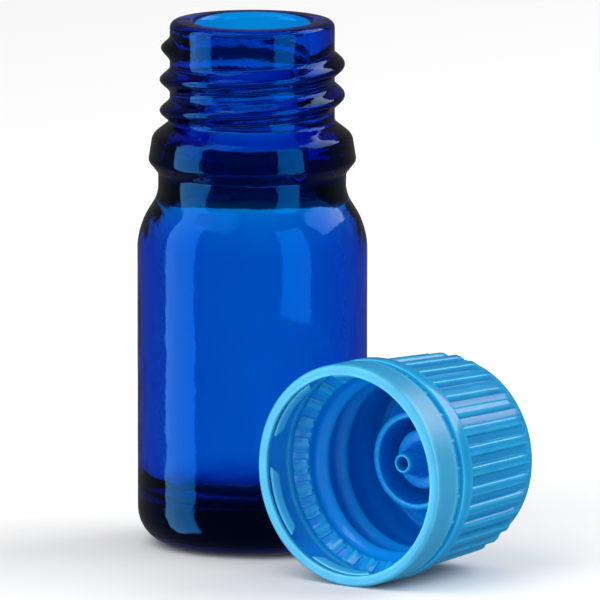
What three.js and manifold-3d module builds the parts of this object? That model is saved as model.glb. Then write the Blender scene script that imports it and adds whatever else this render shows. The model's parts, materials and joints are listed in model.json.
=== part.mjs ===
// A small dropper vial in moulded glass, open and empty, with its tamper-evident screw cap
// lying beside it. The cap still holds its dropper insert and its unbroken tamper band.
// Millimetres, +Z up. The vial stands on z = 0, and the origin is the middle of the footprint.

import * as THREE from "three";
import { mergeVertices } from "three/addons/utils/BufferGeometryUtils.js";
import Module from "manifold-3d";

const wasm = await Module();
wasm.setup();

// ---------------------------------------------------------------- driving dimensions

// The glass body.
const total_height = 51;
const body_radius = 11.1;
const heel_radius = 3.6;
const base_thickness = 4.5;
const body_wall = 2.2;
const inner_heel_radius = 3;
const push_up_height = 0.8;
const push_up_radius = 6.4;
const push_up_fillet = 1.4;
const bearing_edge_fillet = 0.3;

// The shoulder, measured down from the top of the neck.
const collar_radius = 9.08;
const collar_foot_depth = 16.9;
const shoulder_angle = THREE.MathUtils.degToRad(32);
const shoulder_crown_radius = 6.5;
const collar_fillet = 3;

// The neck finish, measured down from the top of the neck.
const neck_radius = 7.96;
const bore_radius = 5.55;
const bore_depth = 13.8;
const mouth_fillet = 0.7;
const lip_fillet = 0.7;
const inner_shoulder_fillet = 3;
const bead_radius = 10.05;
const bead_shoulder_radius = 9.65;
const bead_under_depth = 14.8;
const bead_widest_depth = 13.6;
const bead_shoulder_depth = 11.1;
const bead_top_depth = 9.8;
const bead_fillet = 0.6;

// The screw thread, right-handed, with a round ridge that sinks into the wall at both ends.
const thread_pitch = 3;
const thread_crest_radius = 8.95;
const thread_ridge_radius = 0.85;
const thread_turns = 2.3;
const thread_top_depth = 2.5;
const thread_fade_turns = 0.14;
const thread_lead = THREE.MathUtils.degToRad(30);

// The dropper insert. Its flange lies on top of the neck and its plug fills the bore.
const flange_thickness = 0.7;
const flange_radius = 7.6;
const plug_length = 5.6;
const plug_tip_radius = 4.75;
const plug_wall = 0.6;
const plug_squeeze = 0.05;
const hub_radius = 2.9;
const hub_length = 4.3;
const hub_edge_fillet = 0.3;
const nozzle_length = 3.1;
const nozzle_root_radius = 1.65;
const nozzle_tip_radius = 0.95;
const drop_hole_radius = 0.65;
const spout_radius = 1.9;
const spout_height = 0.5;
const vent_radius = 0.4;

// The cap and its tamper band, which share one skirt that is slit all round.
const roof_thickness = 1.1;
const skirt_wall = 0.7;
const skirt_draft = 0.55;
const roof_bore_draft = 0.5;
const roof_edge_radius = 1.5;
const rib_count = 32;
const rib_width = 0.95;
const rib_height = 0.55;
const rib_end_slope = 0.9;
const rib_draft = 0.1;
const band_height = 3.3;
const band_wall = 0.55;
const slit_width = 0.9;
const grip_ring_height = 1.6;
const cone_height = 1.2;
const cone_start_above_ring = 0.7;
const cap_ridge_radius = 0.75;
const cap_thread_turns = 2.2;
const ratchet_tooth_count = 28;
const ratchet_tooth_width = 1.5;
const ratchet_tooth_height = 0.3;
const rim_lip_width = 0.5;
const rim_lip_height = 0.45;
const rim_lip_rise = 0.15;

// The retaining flaps, hinged on the lip of the band, which catch under the neck bead.
const flap_count = 6;
const flap_arc = THREE.MathUtils.degToRad(42);
const flap_thickness = 0.35;
const flap_lean = 0.22;
const flap_reach = 1.6;

// The breakable bridges across the slit.
const bridge_count = 24;
const bridge_width = 0.5;
const bridge_depth = 0.25;

// Fits.
const wall_clearance = 0.1;
const thread_clearance = 0.15;
const contact_gap = 0.2;
const moulded_gap = 0.12;
const hinge_gap = 0.3;

// How the cap lies beside the vial: the middle of its rim, and the bearing of its closed end.
const rim_position_x = 9.1;
const side_gap = 0.5;
const cap_bearing = THREE.MathUtils.degToRad(53.3);
const cap_roll = THREE.MathUtils.degToRad(8);

// Mesh fineness.
const segments = 40;
const arc_step = THREE.MathUtils.degToRad(23);
const ridge_quarters = 4;
const ridge_steps_per_turn = 32;
const weld_distance = 1e-4;
const sink_margin = 0.1;

// ---------------------------------------------------------------- sizes that follow

const inner_radius = body_radius - body_wall;
const collar_foot_height = total_height - collar_foot_depth;
const shoulder_height = (body_radius - collar_radius) / Math.tan(shoulder_angle);
const shoulder_foot_height = collar_foot_height - shoulder_height;
const bore_foot_height = total_height - bore_depth;
const inner_shoulder_height = (inner_radius - bore_radius) / Math.tan(shoulder_angle);
const inner_shoulder_foot = bore_foot_height - inner_shoulder_height;

// Heights inside the closure are measured from the cap's rim towards its roof.
const land_height = bead_under_depth - wall_clearance * 2 + flap_reach;
const flange_top = land_height + flange_thickness;
const roof_underside = flange_top + contact_gap;
const cap_height = roof_underside + roof_thickness;
const band_bore = bead_radius + wall_clearance;
const band_radius = band_bore + band_wall;
const ring_foot = band_height + slit_width;
const ring_top = ring_foot + grip_ring_height;
const cap_bore = thread_crest_radius + thread_clearance;
const skirt_radius = cap_bore + skirt_wall;
const rib_radius = skirt_radius + rib_height;
const skirt_top_radius = skirt_radius - skirt_draft;
const thread_top_height = land_height - thread_top_depth;
const cone_foot = ring_foot + cone_start_above_ring;
const cone_top = cone_foot + cone_height;
const lip_bore = band_bore - rim_lip_width;
const closure_radius = Math.max(band_radius, rib_radius);

// ---------------------------------------------------------------- shape helpers

// A closed outline for a lathe from its corners [radius, height, fillet], each rounded by its fillet.
function roundedOutline(corners) {
  const outline = [];
  corners.forEach(([x, y, fillet = 0], index) => {
    const corner = new THREE.Vector2(x, y);
    const before = corners[(index + corners.length - 1) % corners.length];
    const after = corners[(index + 1) % corners.length];
    if (fillet === 0) {
      outline.push(corner);
      return;
    }
    const back = new THREE.Vector2(before[0] - x, before[1] - y).normalize();
    const ahead = new THREE.Vector2(after[0] - x, after[1] - y).normalize();
    const half_angle = Math.acos(THREE.MathUtils.clamp(back.dot(ahead), -1, 1)) / 2;
    const middle = back.clone().add(ahead).normalize();
    const centre = corner.clone().addScaledVector(middle, fillet / Math.sin(half_angle));
    const first = corner.clone().addScaledVector(back, fillet / Math.tan(half_angle)).sub(centre);
    const sweep = Math.PI - 2 * half_angle;
    const turn = Math.sign(back.x * ahead.y - back.y * ahead.x) * -1;
    const steps = Math.max(2, Math.ceil(sweep / arc_step));
    for (let step = 0; step <= steps; step += 1) {
      const spoke = first.clone().rotateAround(new THREE.Vector2(), (turn * sweep * step) / steps);
      outline.push(centre.clone().add(spoke));
    }
  });
  outline.push(outline[0].clone());
  return outline;
}

// A geometry as a closed solid, turned right side out.
function solidOf(geometry) {
  const bare = geometry.clone();
  bare.deleteAttribute("normal");
  bare.deleteAttribute("uv");
  const merged = mergeVertices(bare, weld_distance);
  const triVerts = new Uint32Array(merged.index.array);
  const vertProperties = merged.attributes.position.array;
  const made = new wasm.Manifold(new wasm.Mesh({ numProp: 3, vertProperties, triVerts }));
  if (made.volume() > 0) return made;
  triVerts.reverse();
  return new wasm.Manifold(new wasm.Mesh({ numProp: 3, vertProperties, triVerts }));
}

// A solid turned about the Z axis from a closed outline of radii and heights.
function turned(outline, fineness = segments) {
  return solidOf(new THREE.LatheGeometry(outline, fineness).rotateX(Math.PI / 2));
}

// A flat blade: its outline is drawn in radius and height, and it is as thick as given.
function blade(outline, thickness) {
  const shape = new THREE.Shape(outline.map(([radius, height]) => new THREE.Vector2(radius, height)));
  const geometry = new THREE.ExtrudeGeometry(shape, { depth: thickness, bevelEnabled: false });
  return geometry.translate(0, 0, -thickness / 2).rotateX(Math.PI / 2);
}

// The copies of a geometry, evenly round the axis, joined onto a solid.
function joinedRound(solid, geometry, count) {
  let joined = solid;
  for (let index = 0; index < count; index += 1) {
    const angle = (2 * Math.PI * index) / count;
    joined = joined.add(solidOf(geometry.clone().rotateZ(angle)));
  }
  return joined;
}

// A right-handed helix whose radius changes to a sunken one over its first and last part.
class FadingHelix extends THREE.Curve {
  constructor(radius, sunken_radius, foot, turns) {
    super();
    Object.assign(this, { radius, sunken_radius, foot, turns });
  }

  getPoint(t, target = new THREE.Vector3()) {
    const turned_from_end = Math.min(t, 1 - t) * this.turns;
    const rise = THREE.MathUtils.smoothstep(turned_from_end, 0, thread_fade_turns);
    const radius = THREE.MathUtils.lerp(this.sunken_radius, this.radius, rise);
    const angle = 2 * Math.PI * this.turns * t;
    const height = this.foot + thread_pitch * this.turns * t;
    return target.set(radius * Math.cos(angle), radius * Math.sin(angle), height);
  }
}

function threadRidge(helix, ridge_radius, start_angle) {
  const section = new THREE.Shape().absarc(0, 0, ridge_radius, 0, 2 * Math.PI);
  const geometry = new THREE.ExtrudeGeometry(section, {
    steps: Math.round(helix.turns * ridge_steps_per_turn),
    curveSegments: ridge_quarters,
    extrudePath: helix,
  });
  return solidOf(geometry.rotateZ(start_angle));
}

// ---------------------------------------------------------------- pieces

function glassBottle() {
  const body = turned(roundedOutline([
    [0, push_up_height],
    [push_up_radius - push_up_height, push_up_height, push_up_fillet],
    [push_up_radius, 0, bearing_edge_fillet],
    [body_radius, 0, heel_radius],
    [body_radius, shoulder_foot_height, shoulder_crown_radius],
    [collar_radius, collar_foot_height, collar_fillet],
    [collar_radius, total_height - bead_under_depth, bead_fillet],
    [bead_radius, total_height - bead_widest_depth, bead_fillet],
    [bead_shoulder_radius, total_height - bead_shoulder_depth, bead_fillet * 2],
    [neck_radius, total_height - bead_top_depth, bead_fillet],
    [neck_radius, total_height, lip_fillet],
    [bore_radius, total_height, mouth_fillet],
    [bore_radius, bore_foot_height, inner_shoulder_fillet],
    [inner_radius, inner_shoulder_foot, shoulder_crown_radius],
    [inner_radius, base_thickness, inner_heel_radius],
    [0, base_thickness],
  ]));
  const ridge_centre = thread_crest_radius - thread_ridge_radius;
  const sunken_centre = neck_radius - thread_ridge_radius - sink_margin;
  const foot = total_height - thread_top_depth - thread_pitch * thread_turns;
  const helix = new FadingHelix(ridge_centre, sunken_centre, foot, thread_turns);
  const start_angle = Math.PI * (1 - 2 * thread_turns) + thread_lead;
  return body.add(threadRidge(helix, thread_ridge_radius, start_angle));
}

function dropperInsert() {
  const plug_radius = bore_radius + plug_squeeze;
  const plug_tip = land_height - plug_length;
  const hub_tip = land_height - hub_length;
  const nozzle_tip = hub_tip - nozzle_length;
  const plug_inner_radius = plug_tip_radius - plug_wall;
  const seal_height = land_height - flange_thickness;
  const spout_top = flange_top + spout_height;
  const body = turned(roundedOutline([
    [drop_hole_radius, nozzle_tip],
    [nozzle_tip_radius, nozzle_tip],
    [nozzle_root_radius, hub_tip],
    [hub_radius, hub_tip, hub_edge_fillet],
    [hub_radius, land_height],
    [plug_inner_radius, land_height],
    [plug_inner_radius, plug_tip],
    [plug_tip_radius, plug_tip],
    [plug_radius - plug_squeeze * 2, seal_height - flange_thickness],
    [plug_radius, seal_height],
    [plug_radius - plug_squeeze * 2, land_height],
    [flange_radius, land_height],
    [flange_radius, flange_top],
    [spout_radius, flange_top],
    [spout_radius - spout_height / 2, spout_top],
    [drop_hole_radius * 2, spout_top],
    [drop_hole_radius, flange_top],
  ]));
  const vent_place = (hub_radius + plug_inner_radius) / 2;
  const vent = new THREE.CylinderGeometry(vent_radius, vent_radius, flange_thickness * 3, ridge_quarters * 4);
  vent.rotateX(Math.PI / 2).translate(vent_place, 0, land_height);
  return body.subtract(solidOf(vent));
}

function screwCap() {
  const pocket_radius = spout_radius + contact_gap;
  const pocket_top = roof_underside + spout_height;
  let cap = turned(roundedOutline([
    [0, cap_height],
    [0, pocket_top],
    [pocket_radius, pocket_top],
    [pocket_radius, roof_underside],
    [cap_bore - roof_bore_draft, roof_underside, contact_gap],
    [cap_bore, thread_top_height],
    [cap_bore, cone_top],
    [band_bore, cone_foot],
    [band_bore, ring_foot],
    [band_radius, ring_foot],
    [band_radius, ring_top],
    [skirt_radius, ring_top],
    [skirt_top_radius, cap_height, roof_edge_radius],
  ]));
  const rib_root = skirt_wall / 4;
  const rib_foot = ring_foot + grip_ring_height / 2;
  const rib_top = cap_height - roof_edge_radius;
  const rib = blade(
    [
      [skirt_radius - rib_root, rib_foot],
      [rib_radius, rib_foot],
      [rib_radius - skirt_draft - rib_draft, rib_top - rib_end_slope],
      [skirt_top_radius, rib_top],
      [skirt_top_radius - rib_root, rib_top],
    ],
    rib_width,
  );
  cap = joinedRound(cap, rib, rib_count);
  const tooth = blade(
    [
      [band_bore, cone_foot],
      [band_bore - ratchet_tooth_height, cone_foot],
      [cap_bore - ratchet_tooth_height, cone_top],
      [cap_bore + skirt_wall / 2, cone_top + ratchet_tooth_height],
    ],
    ratchet_tooth_width,
  );
  cap = joinedRound(cap, tooth, ratchet_tooth_count);
  return cap.add(capThread());
}

// The cap's own thread runs half a pitch away from the neck's when the cap is screwed home.
function capThread() {
  const ridge_centre = neck_radius + thread_clearance * 2 + cap_ridge_radius;
  const sunken_centre = skirt_radius + cap_ridge_radius;
  const foot = thread_top_height - thread_pitch * (cap_thread_turns + 0.5);
  const helix = new FadingHelix(ridge_centre, sunken_centre, foot, cap_thread_turns);
  const start_angle = Math.PI * (1 - 2 * cap_thread_turns) + thread_lead;
  const ridge = threadRidge(helix, cap_ridge_radius, start_angle);
  const bored_radius = cap_bore + skirt_wall / 4;
  const inside = new THREE.CylinderGeometry(bored_radius, bored_radius, cap_height, segments);
  inside.rotateX(Math.PI / 2).translate(0, 0, cap_height / 2);
  return ridge.intersect(solidOf(inside));
}

function tamperBand() {
  return turned(roundedOutline([
    [lip_bore, 0, moulded_gap],
    [band_radius, 0, moulded_gap * 2],
    [band_radius, band_height],
    [band_bore, band_height],
    [band_bore, rim_lip_height + rim_lip_rise],
    [lip_bore, rim_lip_height],
  ]));
}

function retainingFlap() {
  const foot = rim_lip_height + hinge_gap;
  const section = [
    [lip_bore + flap_thickness / 2, foot],
    [lip_bore + flap_thickness / 2 - flap_lean, flap_reach],
    [lip_bore - flap_thickness / 2 - flap_lean, flap_reach],
    [lip_bore - flap_thickness / 2, foot],
    [lip_bore + flap_thickness / 2, foot],
  ].map(([radius, height]) => new THREE.Vector2(radius, height));
  const whole = turned(section, segments * 2);
  const reach = 2 * band_radius;
  const wedge = new THREE.Shape([
    new THREE.Vector2(0, 0),
    new THREE.Vector2(reach, -reach * Math.tan(flap_arc / 2)),
    new THREE.Vector2(reach, reach * Math.tan(flap_arc / 2)),
  ]);
  const sector = new THREE.ExtrudeGeometry(wedge, { depth: band_height, bevelEnabled: false });
  return whole.intersect(solidOf(sector));
}

function tamperBridge() {
  const inner = band_bore;
  const outer = band_bore + bridge_depth;
  const foot = band_height + moulded_gap;
  const top = ring_foot - moulded_gap;
  const outline = [
    [inner, foot],
    [outer, foot],
    [outer, top],
    [inner, top],
  ];
  return solidOf(blade(outline, bridge_width));
}

// ---------------------------------------------------------------- assembly

const cobalt_glass = new THREE.MeshStandardMaterial({ color: 0x0a3fae, roughness: 0.05, metalness: 0 });
const turquoise_gloss = new THREE.MeshStandardMaterial({ color: 0x12a0d2, roughness: 0.3, metalness: 0 });
const turquoise_satin = new THREE.MeshStandardMaterial({ color: 0x3fb0dc, roughness: 0.45, metalness: 0 });

function mesh(name, solid, material) {
  const { vertProperties, triVerts } = solid.getMesh();
  const geometry = new THREE.BufferGeometry();
  geometry.setAttribute("position", new THREE.BufferAttribute(vertProperties, 3));
  geometry.setIndex(new THREE.BufferAttribute(triVerts, 1));
  geometry.computeVertexNormals();
  const made = new THREE.Mesh(geometry, material);
  made.name = name;
  return made;
}

function numbered(name, index) {
  return `${name}_${String(index + 1).padStart(2, "0")}`;
}

// The closure is built upright, rim down, and laid on its side here.
function layOnItsSide(closure) {
  const rolled = new THREE.Group();
  rolled.add(closure);
  rolled.rotation.z = cap_roll;
  const lying = new THREE.Group();
  lying.add(rolled);
  lying.rotation.y = Math.PI / 2;
  const placed = new THREE.Group();
  placed.add(lying);
  placed.rotation.z = cap_bearing;
  const axis_offset = body_radius + closure_radius + side_gap;
  const rim_position_y = (rim_position_x * Math.sin(cap_bearing) - axis_offset) / Math.cos(cap_bearing);
  placed.position.set(rim_position_x, rim_position_y, closure_radius);
  return placed;
}

const closure = new THREE.Group();
closure.add(mesh("screw_cap", screwCap(), turquoise_gloss));
closure.add(mesh("dropper_insert", dropperInsert(), turquoise_gloss));
closure.add(mesh("tamper_band", tamperBand(), turquoise_satin));

const flap_solid = retainingFlap();
for (let index = 0; index < flap_count; index += 1) {
  const flap = mesh(numbered("retaining_flap", index), flap_solid, turquoise_satin);
  flap.rotation.z = (2 * Math.PI * index) / flap_count;
  closure.add(flap);
}

const bridge_solid = tamperBridge();
for (let index = 0; index < bridge_count; index += 1) {
  const bridge = mesh(numbered("tamper_bridge", index), bridge_solid, turquoise_satin);
  bridge.rotation.z = (2 * Math.PI * index) / bridge_count;
  closure.add(bridge);
}

const vial = new THREE.Group();
vial.add(mesh("glass_bottle", glassBottle(), cobalt_glass));
vial.add(layOnItsSide(closure));

const footprint = new THREE.Box3().setFromObject(vial, true).getCenter(new THREE.Vector3());
vial.position.set(-footprint.x, -footprint.y, 0);

export default vial;
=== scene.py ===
import json
import logging
import math
from collections.abc import Callable
from dataclasses import dataclass
from enum import Enum

import bmesh
import bpy
from mathutils import Matrix, Vector, noise


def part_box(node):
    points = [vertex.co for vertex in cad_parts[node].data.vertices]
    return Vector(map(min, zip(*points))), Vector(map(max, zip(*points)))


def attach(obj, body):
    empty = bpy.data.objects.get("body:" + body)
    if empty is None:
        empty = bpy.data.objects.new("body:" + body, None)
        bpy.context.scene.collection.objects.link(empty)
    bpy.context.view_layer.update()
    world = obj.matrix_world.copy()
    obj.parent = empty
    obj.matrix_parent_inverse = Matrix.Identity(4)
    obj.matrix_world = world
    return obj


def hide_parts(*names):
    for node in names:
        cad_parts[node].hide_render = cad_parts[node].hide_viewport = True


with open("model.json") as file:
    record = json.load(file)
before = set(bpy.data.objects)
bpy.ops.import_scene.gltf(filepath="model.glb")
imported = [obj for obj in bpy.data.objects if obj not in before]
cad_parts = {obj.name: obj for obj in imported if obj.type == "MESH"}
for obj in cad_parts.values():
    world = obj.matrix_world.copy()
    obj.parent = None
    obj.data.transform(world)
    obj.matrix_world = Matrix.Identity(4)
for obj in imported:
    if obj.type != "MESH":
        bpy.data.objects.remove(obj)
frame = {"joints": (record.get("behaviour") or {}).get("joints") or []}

logging.basicConfig(level=logging.INFO, format="%(message)s")
LOG = logging.getLogger("dropper_vial")

MM = 0.001  # metres in a millimetre
TURN = 2 * math.pi
Z_AXIS = Vector((0, 0, 1))
WELD = 1e-4  # points nearer than this, in millimetres, are one point
SHARP_ANGLE = math.radians(42)  # a sharper bend than this is shaded as an edge
THREAD_LEAD = math.radians(30)  # both threads end this far past the left side

Corner = tuple[float, float, float]  # radius, height and fillet, in millimetres
Colour = tuple[float, float, float, float]
Spacing = Callable[[float, float], float]
Mover = Callable[[Vector], Vector]
BMesh = bmesh.types.BMesh
Tree = bpy.types.NodeTree
Node = bpy.types.Node
Socket = bpy.types.NodeSocket
Material = bpy.types.Material


# ---- choices


class Slot(Enum):
    """The record's material slots."""

    GLASS = "cobalt_glass"
    INSERT = "insert_plastic"
    CAP = "cap_plastic"
    BAND = "band_plastic"


class Reach(Enum):
    """Which surfaces a light works on."""

    ALL = "all"
    GLOSS = "gloss"
    DIFFUSE = "diffuse"


class Body(Enum):
    """The moving bodies that pieces ride on."""

    VIAL = "vial"
    INSERT = "insert"
    CAP = "cap"
    BAND = "band"


# ---- node helpers


@dataclass
class NodeSheet:
    """Adds nodes to a shader tree and wires them together.

    Attributes:
        tree: a material's, the world's or a group's node tree.
    """

    tree: Tree

    def node(self, kind: str, settings: dict | None = None, **inputs: object) -> Node:
        """Adds a node, sets its options, and sets or wires its inputs.

        Args:
            kind: the node's type, such as "ShaderNodeMix".
            settings: options of the node itself.
            inputs: values or output sockets by input name, with _ for a space.

        Returns:
            The new node.
        """
        made = self.tree.nodes.new(kind)
        for option, value in (settings or {}).items():
            setattr(made, option, value)
        for name, value in inputs.items():
            self.feed(made.inputs[name.replace("_", " ")], value)
        return made

    def feed(self, socket: Socket, value: object) -> None:
        """Wires an output into a socket, or sets its value.

        Args:
            socket: the input to fill.
            value: an output socket, or a plain value.
        """
        if isinstance(value, Socket):
            self.tree.links.new(value, socket)
        else:
            socket.default_value = value

    def math(self, operation: str, first: object, second: object) -> Socket:
        """Adds a Math node.

        Args:
            operation: the node's operation.
            first: first operand, a value or an output.
            second: second operand.

        Returns:
            The node's output.
        """
        made = self.tree.nodes.new("ShaderNodeMath")
        made.operation = operation
        for socket, value in zip(made.inputs, (first, second)):
            self.feed(socket, value)
        return made.outputs[0]

    def span(
        self, value: object, low: float, high: float, to_low: object, to_high: object,
    ) -> Socket:
        """Maps a value from one range onto another, clamped.

        Args:
            value: the value to map.
            low: start of the range it comes from.
            high: end of that range.
            to_low: what low becomes.
            to_high: what high becomes.

        Returns:
            The mapped value's output.
        """
        made = self.tree.nodes.new("ShaderNodeMapRange")
        self.feed(made.inputs["Value"], value)
        self.feed(made.inputs["From Min"], low)
        self.feed(made.inputs["From Max"], high)
        self.feed(made.inputs["To Min"], to_low)
        self.feed(made.inputs["To Max"], to_high)
        return made.outputs[0]

    def noise(self, place: Socket, scale: object, detail: float, roughness: float) -> Socket:
        """Adds a Noise Texture node.

        Args:
            place: the coordinates it reads.
            scale: its scale, a value or an output.
            detail: its octaves.
            roughness: how much the fine octaves count.

        Returns:
            The noise value's output.
        """
        return self.node(
            "ShaderNodeTexNoise", Vector=place, Scale=scale, Detail=detail, Roughness=roughness,
        ).outputs[0]

    def mix(self, factor: object, first: object, second: object) -> Socket:
        """Mixes two colours.

        Args:
            factor: share of the second colour.
            first: colour at 0.
            second: colour at 1.

        Returns:
            The mixed colour's output.
        """
        made = self.tree.nodes.new("ShaderNodeMix")
        made.data_type = "RGBA"
        self.feed(made.inputs[0], factor)
        self.feed(made.inputs[6], first)
        self.feed(made.inputs[7], second)
        return made.outputs[2]


def new_group(
    name: str, inputs: dict[str, tuple[str, object]], outputs: dict[str, str],
) -> tuple[NodeSheet, Node, Node]:
    """Starts a shader group with named inputs and outputs.

    Args:
        name: the group's name.
        inputs: socket kind and default value by input name.
        outputs: socket kind by output name.

    Returns:
        The group's sheet, its input node and its output node.
    """
    tree = bpy.data.node_groups.new(name, "ShaderNodeTree")
    for label, (kind, default) in inputs.items():
        socket = tree.interface.new_socket(label, in_out="INPUT", socket_type=kind)
        if default is not None:
            socket.default_value = default
    for label, kind in outputs.items():
        tree.interface.new_socket(label, in_out="OUTPUT", socket_type=kind)
    sheet = NodeSheet(tree)
    return sheet, tree.nodes.new("NodeGroupInput"), tree.nodes.new("NodeGroupOutput")


def ripple_group() -> Tree:
    """Slow waves and a fine orange peel, as a height, for skins that cooled against a mould.

    Returns:
        The shader group.
    """
    sheet, into, out = new_group(
        "cooled_ripple",
        {
            "Position": ("NodeSocketVector", None),
            "Wave Size": ("NodeSocketFloat", 4.0),
            "Peel Size": ("NodeSocketFloat", 0.5),
            "Peel Share": ("NodeSocketFloat", 0.3),
        },
        {"Height": "NodeSocketFloat", "Mottle": "NodeSocketFloat"},
    )
    position = into.outputs["Position"]
    wave_scale = sheet.math("DIVIDE", 1 / MM, into.outputs["Wave Size"])
    peel_scale = sheet.math("DIVIDE", 1 / MM, into.outputs["Peel Size"])
    wave = sheet.noise(position, wave_scale, 1.0, 0.4)
    peel = sheet.noise(position, peel_scale, 2.0, 0.55)
    share = sheet.math("MULTIPLY", peel, into.outputs["Peel Share"])
    sheet.feed(out.inputs["Height"], sheet.math("ADD", wave, share))
    sheet.feed(out.inputs["Mottle"], wave)
    return sheet.tree


def skin_group() -> Tree:
    """The skin of moulded plastic: mottle, flow streaks, a fine grain, smoother convex edges with
    a painted highlight, and painted light on the hollow side.

    Returns:
        The shader group.
    """
    streak_scale = 900.0
    mottle_share, streak_share = 0.6, 0.4
    streak_relief = 0.35
    polish = 0.06
    sheet, into, out = new_group(
        "moulded_skin",
        {
            "Position": ("NodeSocketVector", None),
            "Flow Position": ("NodeSocketVector", None),
            "Deep Colour": ("NodeSocketColor", (0, 0.2, 0.5, 1)),
            "Light Colour": ("NodeSocketColor", (0, 0.4, 0.7, 1)),
            "Inside": ("NodeSocketFloat", 0.0),
            "Inside Colour": ("NodeSocketColor", (0, 0.25, 0.8, 1)),
            "Edge": ("NodeSocketFloat", 0.0),
            "Edge Colour": ("NodeSocketColor", (0.3, 0.6, 0.8, 1)),
            "Grain Size": ("NodeSocketFloat", 0.12),
            "Mottle Size": ("NodeSocketFloat", 3.0),
            "Low Roughness": ("NodeSocketFloat", 0.25),
            "High Roughness": ("NodeSocketFloat", 0.4),
        },
        {"Colour": "NodeSocketColor", "Roughness": "NodeSocketFloat", "Height": "NodeSocketFloat"},
    )
    position = into.outputs["Position"]
    grain_scale = sheet.math("DIVIDE", 1 / MM, into.outputs["Grain Size"])
    mottle_scale = sheet.math("DIVIDE", 1 / MM, into.outputs["Mottle Size"])
    grain = sheet.noise(position, grain_scale, 2.0, 0.6)
    mottle = sheet.noise(position, mottle_scale, 2.0, 0.5)
    streak = sheet.noise(into.outputs["Flow Position"], streak_scale, 2.0, 0.5)
    blend = sheet.math(
        "ADD",
        sheet.math("MULTIPLY", mottle, mottle_share),
        sheet.math("MULTIPLY", streak, streak_share),
    )
    lighter = sheet.span(blend, 0.35, 0.65, 0.0, 1.0)
    body = sheet.mix(lighter, into.outputs["Deep Colour"], into.outputs["Light Colour"])
    # painted light: the hollow side takes the bluer inside colour, standing in for light that
    # passes through the wall and bounces inside
    body = sheet.mix(into.outputs["Inside"], body, into.outputs["Inside Colour"])
    # painted highlight: convex edges take the lighter edge colour, patchy with the mottle; the
    # same mask also lowers the roughness
    edge_patchiness = sheet.span(mottle, 0.3, 0.6, 0.55, 1.0)
    edge_highlight_and_polish = sheet.math("MULTIPLY", into.outputs["Edge"], edge_patchiness)
    sheet.feed(out.inputs["Colour"], sheet.mix(edge_highlight_and_polish, body, into.outputs["Edge Colour"]))
    rough = sheet.span(
        grain, 0.35, 0.65, into.outputs["Low Roughness"], into.outputs["High Roughness"],
    )
    smoother = sheet.math("MULTIPLY", edge_highlight_and_polish, polish)
    sheet.feed(out.inputs["Roughness"], sheet.math("SUBTRACT", rough, smoother))
    height = sheet.math("ADD", grain, sheet.math("MULTIPLY", streak, streak_relief))
    sheet.feed(out.inputs["Height"], height)
    return sheet.tree


# ---- finishes


def new_material(name: str) -> tuple[Material, NodeSheet]:
    """Starts a material with an empty node tree.

    Args:
        name: the material's name.

    Returns:
        The material and the sheet of its tree.
    """
    made = bpy.data.materials.new(name)
    made.use_nodes = True
    made.node_tree.nodes.clear()
    return made, NodeSheet(made.node_tree)


@dataclass(frozen=True)
class GlassFinish:
    """Tinted glass that colours light by how much of it the light passes through.

    Attributes:
        name: the material's name.
        tint: colour left after one absorption length.
        density: absorption per metre.
        reflection: tint of the reflected light.
        ior: how strongly the glass bends light.
        ripple: depth of the ripple, in metres.
        wave_size: size of its slow waves, in millimetres.
        peel_size: size of its orange peel, in millimetres.
        peel_share: how deep the peel is against the waves.
        faint: colour of the surface where the ripple lies low.
        clear: colour of the surface where it lies high.
        haze: highest roughness.
    """

    name: str = "cobalt_glass_blown"
    tint: Colour = (0.0, 0.795, 0.947, 1)
    density: float = 2850.0
    reflection: Colour = (0.0, 0.34, 1.0, 1)
    ior: float = 1.5
    ripple: float = 0.000034
    wave_size: float = 2.0
    peel_size: float = 0.5
    peel_share: float = 0.35
    faint: Colour = (0.9, 0.96, 1.0, 1)
    clear: Colour = (1.0, 1.0, 1.0, 1)
    haze: float = 0.025

    def material(self, ripples: Tree) -> Material:
        """Makes the material.

        Args:
            ripples: the shared ripple group.

        Returns:
            The glass material.
        """
        made, sheet = new_material(self.name)
        place = sheet.node("ShaderNodeTexCoord").outputs["Object"]
        ripple = sheet.node(
            "ShaderNodeGroup", {"node_tree": ripples}, Position=place,
            Wave_Size=self.wave_size, Peel_Size=self.peel_size, Peel_Share=self.peel_share,
        )
        bump = sheet.node(
            "ShaderNodeBump", Height=ripple.outputs["Height"], Strength=1.0, Distance=self.ripple,
        )
        colour = sheet.mix(ripple.outputs["Mottle"], self.faint, self.clear)
        rough = sheet.span(ripple.outputs["Mottle"], 0.3, 0.7, 0.0, self.haze)
        shader = sheet.node(
            "ShaderNodeBsdfPrincipled",
            Base_Color=colour, Roughness=rough, IOR=self.ior, Normal=bump.outputs[0],
            Metallic=0.0, Transmission_Weight=1.0, Specular_Tint=self.reflection,
        )
        depth = sheet.node("ShaderNodeVolumeAbsorption", Color=self.tint, Density=self.density)
        sheet.node("ShaderNodeOutputMaterial", Surface=shader.outputs[0], Volume=depth.outputs[0])
        return made


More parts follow.
